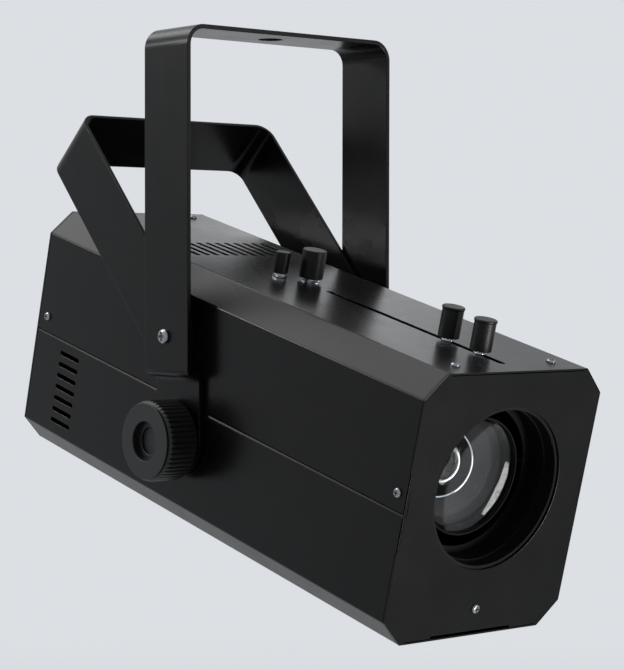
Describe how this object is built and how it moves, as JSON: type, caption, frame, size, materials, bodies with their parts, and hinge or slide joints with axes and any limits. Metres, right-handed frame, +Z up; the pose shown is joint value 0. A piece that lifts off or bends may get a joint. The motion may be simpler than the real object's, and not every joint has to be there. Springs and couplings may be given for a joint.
{
  "type": "gobo projector",
  "caption": "Zoom gobo projector in a long chamfered sheet metal housing, hung from a flat yoke with ribbed tilt knobs, a second folding bracket and sliding focus and zoom lenses.",
  "frame": {"origin": "centre of the clamp hole, on the top face of the yoke", "axes": "+Z up out of the clamp hole, +Y from the lens towards the rear panel level with the ground, +X to the right seen from behind the lens end"},
  "size_m": [0.2124, 0.4364, 0.386],
  "materials": {
    "black_paint": "satin black powder coat",
    "black_plastic": "fine matt",
    "nylon": "smooth matt",
    "bright_steel": "bright zinc plate",
    "black_anodised": "dark grey anodised",
    "bare_aluminium": "machined",
    "clear_glass": "polished and coated",
    "gobo_glass": "metal-coated glass",
    "circuit_board": "green solder mask",
    "lamp_board": "white solder mask",
    "phosphor": "yellow phosphor under silicone"
  },
  "bodies": {
    "yoke": {"yoke": "black_paint", "pivot_screw_left": "bright_steel", "pivot_screw_right": "bright_steel", "swivel_washer_left": "nylon", "swivel_washer_right": "nylon", "pivot_nut_left": "bright_steel", "pivot_nut_right": "bright_steel"},
    "folding_bracket": {"folding_bracket": "black_paint"},
    "housing": {"upper_shell": "black_paint", "lower_shell": "black_paint", "front_plate": "black_paint", "rear_panel": "black_paint", "lens_hood": "black_plastic", "guide_rod_left": "bright_steel", "guide_rod_right": "bright_steel", "nut_plate_left": "bright_steel", "nut_plate_right": "bright_steel", "friction_washer_left": "nylon", "friction_washer_right": "nylon", "knob_spacer_left": "bright_steel", "knob_spacer_right": "bright_steel", "gate_plate": "black_paint", "gobo_holder": "black_plastic", "index_bush": "bare_aluminium", "dimmer_potentiometer": "bare_aluminium", "dimmer_nut": "bright_steel", "condenser_holder": "black_plastic", "condenser_front_lens": "clear_glass", "condenser_rear_lens": "clear_glass", "lamp_plate": "bare_aluminium", "led_board": "lamp_board", "led_emitter": "phosphor", "heat_sink": "black_anodised", "fan_frame": "black_plastic", "driver_board": "circuit_board", "power_inlet": "black_plastic", "fuse_holder": "black_plastic"},
    "tilt_knob_left": {"tilt_knob_left": "black_plastic", "tilt_stud_left": "bright_steel"},
    "tilt_knob_right": {"tilt_knob_right": "black_plastic", "tilt_stud_right": "bright_steel"},
    "focus_carriage": {"focus_barrel": "black_anodised", "focus_lens": "clear_glass", "focus_ring": "black_plastic", "focus_stem": "bright_steel"},
    "focus_knob": {"focus_knob": "black_plastic"},
    "zoom_carriage": {"zoom_barrel": "black_anodised", "zoom_lens": "clear_glass", "zoom_ring": "black_plastic", "zoom_stem": "bright_steel"},
    "zoom_knob": {"zoom_knob": "black_plastic"},
    "index_drive": {"index_knob": "black_plastic", "index_shaft": "bright_steel", "gobo_roller": "nylon"},
    "gobo": {"gobo_ring": "bare_aluminium", "gobo_disc": "gobo_glass", "gobo_clip": "bright_steel"},
    "dimmer_drive": {"dimmer_knob": "black_plastic", "dimmer_shaft": "bright_steel"},
    "fan_rotor": {"fan_rotor": "black_plastic"}
  },
  "joints": [
    {"name": "housing_tilt", "type": "hinge", "parent": "yoke", "child": "housing", "pos_m": [0, 0, -0.2724], "axis": [1, 0, 0], "range_deg": [-84.7, 75.3]},
    {"name": "bracket_fold", "type": "hinge", "parent": "yoke", "child": "folding_bracket", "pos_m": [0, 0.0011, -0.20409], "axis": [1, 0, 0], "range_deg": [-15, 42]},
    {"name": "tilt_knob_left_turn", "type": "hinge", "parent": "housing", "child": "tilt_knob_left", "pos_m": [0, 0, -0.2724], "axis": [1, 0, 0], "range_deg": [0, 360]},
    {"name": "tilt_knob_right_turn", "type": "hinge", "parent": "housing", "child": "tilt_knob_right", "pos_m": [0, 0, -0.2724], "axis": [-1, 0, 0], "range_deg": [0, 360]},
    {"name": "focus_slide", "type": "slide", "parent": "housing", "child": "focus_carriage", "axis": [0, 0.9673, 0.2538], "range_m": [-0.019, 0.003]},
    {"name": "focus_knob_turn", "type": "hinge", "parent": "focus_carriage", "child": "focus_knob", "pos_m": [0, -0.20601, -0.20197], "axis": [0, -0.2538, 0.9673], "range_deg": [0, 360]},
    {"name": "zoom_slide", "type": "slide", "parent": "housing", "child": "zoom_carriage", "axis": [0, 0.9673, 0.2538], "range_m": [-0.0035, 0.115]},
    {"name": "zoom_knob_turn", "type": "hinge", "parent": "zoom_carriage", "child": "zoom_knob", "pos_m": [0, -0.17777, -0.19456], "axis": [0, -0.2538, 0.9673], "range_deg": [0, 360]},
    {"name": "index_turn", "type": "hinge", "parent": "housing", "child": "index_drive", "pos_m": [0.0048, -0.03653, -0.16785], "axis": [0, -0.2538, 0.9673], "continuous": true},
    {"name": "gobo_turn", "type": "hinge", "parent": "housing", "child": "gobo", "pos_m": [0, -0.02789, -0.24333], "axis": [0, 0.9673, 0.2538], "continuous": true},
    {"name": "dimmer_turn", "type": "hinge", "parent": "housing", "child": "dimmer_drive", "pos_m": [-0.012, -0.02473, -0.16475], "axis": [0, -0.2538, 0.9673], "range_deg": [-135, 135]},
    {"name": "fan_spin", "type": "hinge", "parent": "housing", "child": "fan_rotor", "pos_m": [0, 0.07812, -0.21551], "axis": [0, 0.9673, 0.2538], "continuous": true}
  ],
  "couplings": [
    {"joint": "gobo_turn", "follows": "index_turn", "ratio": 0.20323}
  ]
}
